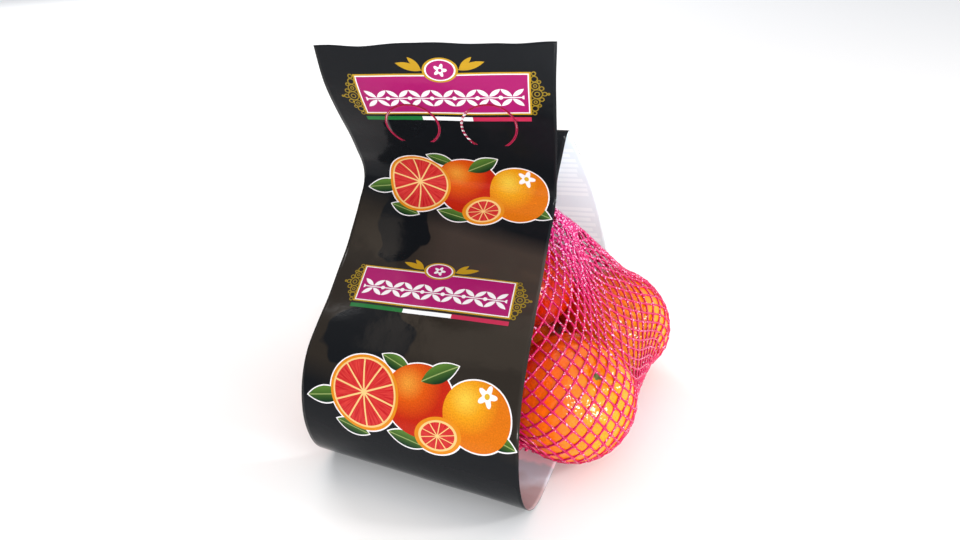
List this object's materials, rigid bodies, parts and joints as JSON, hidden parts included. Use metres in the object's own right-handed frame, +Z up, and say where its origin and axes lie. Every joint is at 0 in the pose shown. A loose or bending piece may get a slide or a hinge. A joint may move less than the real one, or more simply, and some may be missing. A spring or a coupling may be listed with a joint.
{
  "type": "net of mandarins",
  "caption": "Mesh bag of whole mandarins in a standing carry band of printed film with a handle panel and finger holes.",
  "frame": {"origin": "on the floor, at the middle of the whole object's width and depth", "axes": "+X across the band, -Y to the front with the handle panel and the toe, +Z up"},
  "size_m": [0.2106, 0.2004, 0.2076],
  "materials": {
    "black_film": "glossy near-black printed film, white on its inner face",
    "net_strands": "glossy magenta plastic net strands",
    "mandarin_peel": "waxy orange citrus peel with fine dimples",
    "mandarin_calyx": "dry green button at the stalk end"
  },
  "bodies": {
    "root": {"film_band": "black_film", "mandarin_net": "net_strands"}
  },
  "joints": []
}
